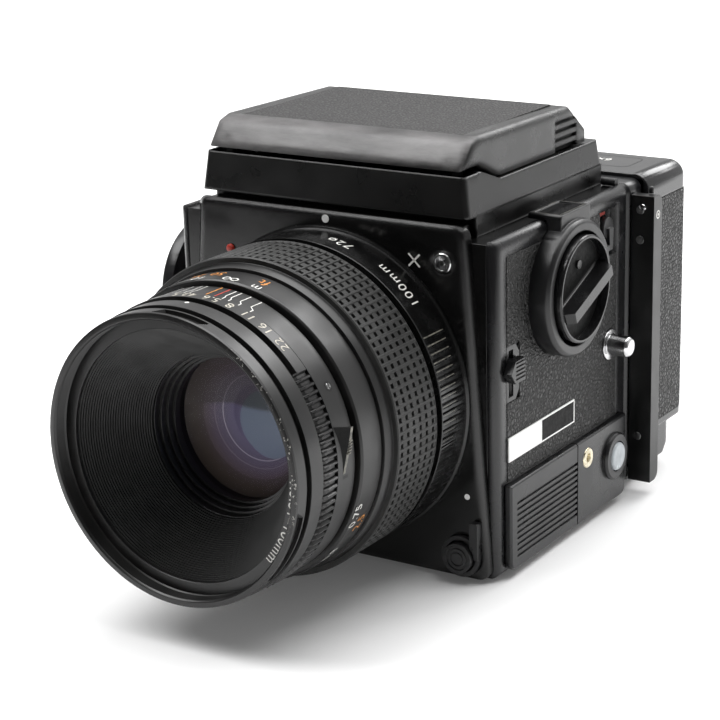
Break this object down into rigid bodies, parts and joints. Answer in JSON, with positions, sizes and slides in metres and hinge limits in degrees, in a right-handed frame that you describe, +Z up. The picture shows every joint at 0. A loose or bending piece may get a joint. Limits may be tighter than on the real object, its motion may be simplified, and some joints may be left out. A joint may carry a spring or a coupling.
{
  "type": "medium format film camera",
  "caption": "Boxy single lens reflex film camera with a long lens, folding waist level finder, side knob and crank, and a film back with dark slide.",
  "frame": {"origin": "mouth of the tripod socket in the base, on the plane the camera stands on", "axes": "+Z up, -Y the way the lens looks, +X towards the side with the shutter speed knob"},
  "size_m": [0.129, 0.1897, 0.119],
  "materials": {
    "cast_alloy": "black painted die casting, satin",
    "moulded_black": "fine textured black moulding",
    "leatherette": "pebbled black covering",
    "base_metal": "black painted plate",
    "tripod_steel": "plain turned steel",
    "battery_case": "nickel plated can",
    "cable_brass": "turned brass",
    "check_white": "translucent white cap",
    "lug_steel": "polished steel",
    "badge_white": "plain white plate",
    "paint_dots": "white paint fill",
    "clear_window": "clear pane",
    "sync_chrome": "polished ring",
    "mount_chrome": "polished bayonet",
    "lens_black": "black anodised, satin",
    "lens_rubber": "chequered rubber",
    "lens_glass": "coated glass",
    "trap_black": "flat black ribs",
    "blade_steel": "blackened blades",
    "mirror_front": "front silvered",
    "screen_matte": "ground glass",
    "hood_metal": "thin black sheet",
    "slide_steel": "blackened sheet",
    "handle_black": "black painted bar",
    "screw_steel": "plain steel heads",
    "spool_plastic": "moulded spool",
    "knob_plastic": "satin black",
    "button_metal": "turned, black"
  },
  "bodies": {
    "camera_body": {"casing": "cast_alloy", "front_plate": "cast_alloy", "right_side_cover": "moulded_black", "left_side_cover": "moulded_black", "right_leatherette": "leatherette", "left_leatherette": "leatherette", "base_plate": "base_metal", "tripod_bush": "tripod_steel", "battery": "battery_case", "lower_side_cover": "moulded_black", "cable_socket": "cable_brass", "slider_frame": "knob_plastic", "strap_lugs": "lug_steel", "badge_plate": "badge_white", "knob_housing": "moulded_black", "speed_window": "clear_window", "sync_socket": "sync_chrome", "index_dots": "paint_dots", "lens_mount": "mount_chrome", "focusing_screen": "screen_matte", "finder_frame": "moulded_black", "back_frame": "cast_alloy", "film_insert": "moulded_black", "lens_rear_barrel": "lens_black"},
    "finder_lid": {"finder_lid": "moulded_black", "lid_leatherette": "leatherette"},
    "left_flap": {"left_hood_flap": "hood_metal"},
    "right_flap": {"right_hood_flap": "hood_metal"},
    "rear_flap": {"rear_hood_flap": "hood_metal"},
    "magnifier": {"magnifier_frame": "hood_metal", "magnifier_lens": "lens_glass"},
    "mirror": {"mirror_frame": "hood_metal", "mirror_glass": "mirror_front"},
    "baffle": {"light_baffle": "hood_metal"},
    "release": {"shutter_button": "button_metal"},
    "release_lock": {"shutter_lock": "button_metal"},
    "speed_knob": {"shutter_speed_knob": "knob_plastic"},
    "slider": {"slot_slider": "knob_plastic"},
    "battery_door": {"battery_door": "moulded_black"},
    "check_button": {"check_button": "check_white"},
    "latch": {"back_latch": "button_metal"},
    "dark_slide": {"dark_slide": "slide_steel", "dark_slide_handle": "handle_black", "dark_slide_screws": "screw_steel"},
    "back_door": {"back_cover": "moulded_black", "back_leatherette": "leatherette"},
    "crank": {"advance_crank": "knob_plastic"},
    "crank_handle": {"crank_handle": "button_metal"},
    "take_up": {"take_up_spool": "spool_plastic"},
    "supply": {"supply_spool": "spool_plastic"},
    "focus": {"focus_ring": "lens_black", "focus_grip": "lens_rubber"},
    "lens_unit": {"lens_barrel": "lens_black", "filter_rim": "lens_black", "light_trap": "trap_black", "front_glass": "lens_glass", "rear_glass": "lens_glass", "iris": "blade_steel"},
    "aperture": {"aperture_ring": "lens_black"},
    "preview": {"preview_lever": "lens_black"}
  },
  "joints": [
    {"name": "lid_hinge", "type": "hinge", "parent": "camera_body", "child": "finder_lid", "pos_m": [0, -0.034, 0.11185], "axis": [1, 0, 0], "range_deg": [0, 100]},
    {"name": "left_flap_hinge", "type": "hinge", "parent": "camera_body", "child": "left_flap", "pos_m": [-0.0354, 0, 0.1044], "axis": [0, -1, 0], "range_deg": [0, 90]},
    {"name": "right_flap_hinge", "type": "hinge", "parent": "camera_body", "child": "right_flap", "pos_m": [0.0354, 0, 0.1044], "axis": [0, 1, 0], "range_deg": [0, 90]},
    {"name": "rear_flap_hinge", "type": "hinge", "parent": "camera_body", "child": "rear_flap", "pos_m": [0, 0.0306, 0.1092], "axis": [-1, 0, 0], "range_deg": [0, 90]},
    {"name": "magnifier_hinge", "type": "hinge", "parent": "finder_lid", "child": "magnifier", "pos_m": [0, -0.004, 0.1142], "axis": [-1, 0, 0], "range_deg": [0, 90]},
    {"name": "mirror_hinge", "type": "hinge", "parent": "camera_body", "child": "mirror", "pos_m": [0, 0.0325, 0.0835], "axis": [-1, 0, 0], "range_deg": [0, 45]},
    {"name": "baffle_hinge", "type": "hinge", "parent": "camera_body", "child": "baffle", "pos_m": [0, 0.0335, 0.0793], "axis": [-1, 0, 0], "range_deg": [0, 90]},
    {"name": "release_press", "type": "slide", "parent": "camera_body", "child": "release", "axis": [0, 1, 0], "range_m": [0, 0.002], "stiffness_N_per_m": 600},
    {"name": "release_lock_turn", "type": "hinge", "parent": "camera_body", "child": "release_lock", "pos_m": [0.0411, -0.04, 0.0076], "axis": [0, -1, 0], "range_deg": [0, 50]},
    {"name": "speed_knob_turn", "type": "hinge", "parent": "camera_body", "child": "speed_knob", "pos_m": [0.055, -0.0018, 0.0742], "axis": [1, 0, 0], "range_deg": [-40, 260]},
    {"name": "slider_move", "type": "slide", "parent": "camera_body", "child": "slider", "axis": [0, 0, -1], "range_m": [0, 0.004]},
    {"name": "battery_door_slide", "type": "slide", "parent": "camera_body", "child": "battery_door", "axis": [0, -1, 0], "range_m": [0, 0.008]},
    {"name": "check_button_press", "type": "slide", "parent": "camera_body", "child": "check_button", "axis": [-1, 0, 0], "range_m": [0, 0.0012], "stiffness_N_per_m": 400},
    {"name": "latch_turn", "type": "hinge", "parent": "camera_body", "child": "latch", "pos_m": [0.0495, 0.0275, 0.084], "axis": [1, 0, 0], "range_deg": [0, 25]},
    {"name": "dark_slide_pull", "type": "slide", "parent": "camera_body", "child": "dark_slide", "axis": [1, 0, 0], "range_m": [0, 0.086]},
    {"name": "back_door_hinge", "type": "hinge", "parent": "camera_body", "child": "back_door", "pos_m": [-0.0539, 0.04875, 0.0498], "axis": [0, 0, 1], "range_deg": [0, 100]},
    {"name": "crank_turn", "type": "hinge", "parent": "camera_body", "child": "crank", "pos_m": [-0.058, -0.0115, 0.064], "axis": [-1, 0, 0], "continuous": true},
    {"name": "crank_handle_fold", "type": "hinge", "parent": "crank", "child": "crank_handle", "pos_m": [-0.0634, -0.0115, 0.07], "axis": [0, 1, 0], "range_deg": [0, 140]},
    {"name": "take_up_turn", "type": "hinge", "parent": "camera_body", "child": "take_up", "pos_m": [-0.037, 0.0627, 0.0498], "axis": [0, 0, 1], "continuous": true},
    {"name": "supply_turn", "type": "hinge", "parent": "camera_body", "child": "supply", "pos_m": [0.037, 0.0627, 0.0498], "axis": [0, 0, 1], "continuous": true},
    {"name": "focus_turn", "type": "hinge", "parent": "camera_body", "child": "focus", "pos_m": [0, -0.07, 0.0498], "axis": [0, 1, 0], "range_deg": [0, 270]},
    {"name": "focus_travel", "type": "slide", "parent": "camera_body", "child": "lens_unit", "axis": [0, -1, 0], "range_m": [0, 0.012]},
    {"name": "aperture_turn", "type": "hinge", "parent": "lens_unit", "child": "aperture", "pos_m": [0, -0.099, 0.0498], "axis": [0, 1, 0], "range_deg": [0, 120]},
    {"name": "preview_turn", "type": "hinge", "parent": "lens_unit", "child": "preview", "pos_m": [0, -0.092, 0.0498], "axis": [0, 1, 0], "range_deg": [0, 15]}
  ],
  "couplings": [
    {"joint": "left_flap_hinge", "follows": "lid_hinge", "ratio": 0.9},
    {"joint": "right_flap_hinge", "follows": "lid_hinge", "ratio": 0.9},
    {"joint": "rear_flap_hinge", "follows": "lid_hinge", "ratio": 0.9},
    {"joint": "magnifier_hinge", "follows": "lid_hinge", "ratio": 0.9},
    {"joint": "baffle_hinge", "follows": "mirror_hinge", "ratio": 2},
    {"joint": "take_up_turn", "follows": "crank_turn", "ratio": 1.5},
    {"joint": "supply_turn", "follows": "crank_turn", "ratio": 1.5},
    {"joint": "focus_travel", "follows": "focus_turn", "m_per_rad": 0.0025465}
  ]
}
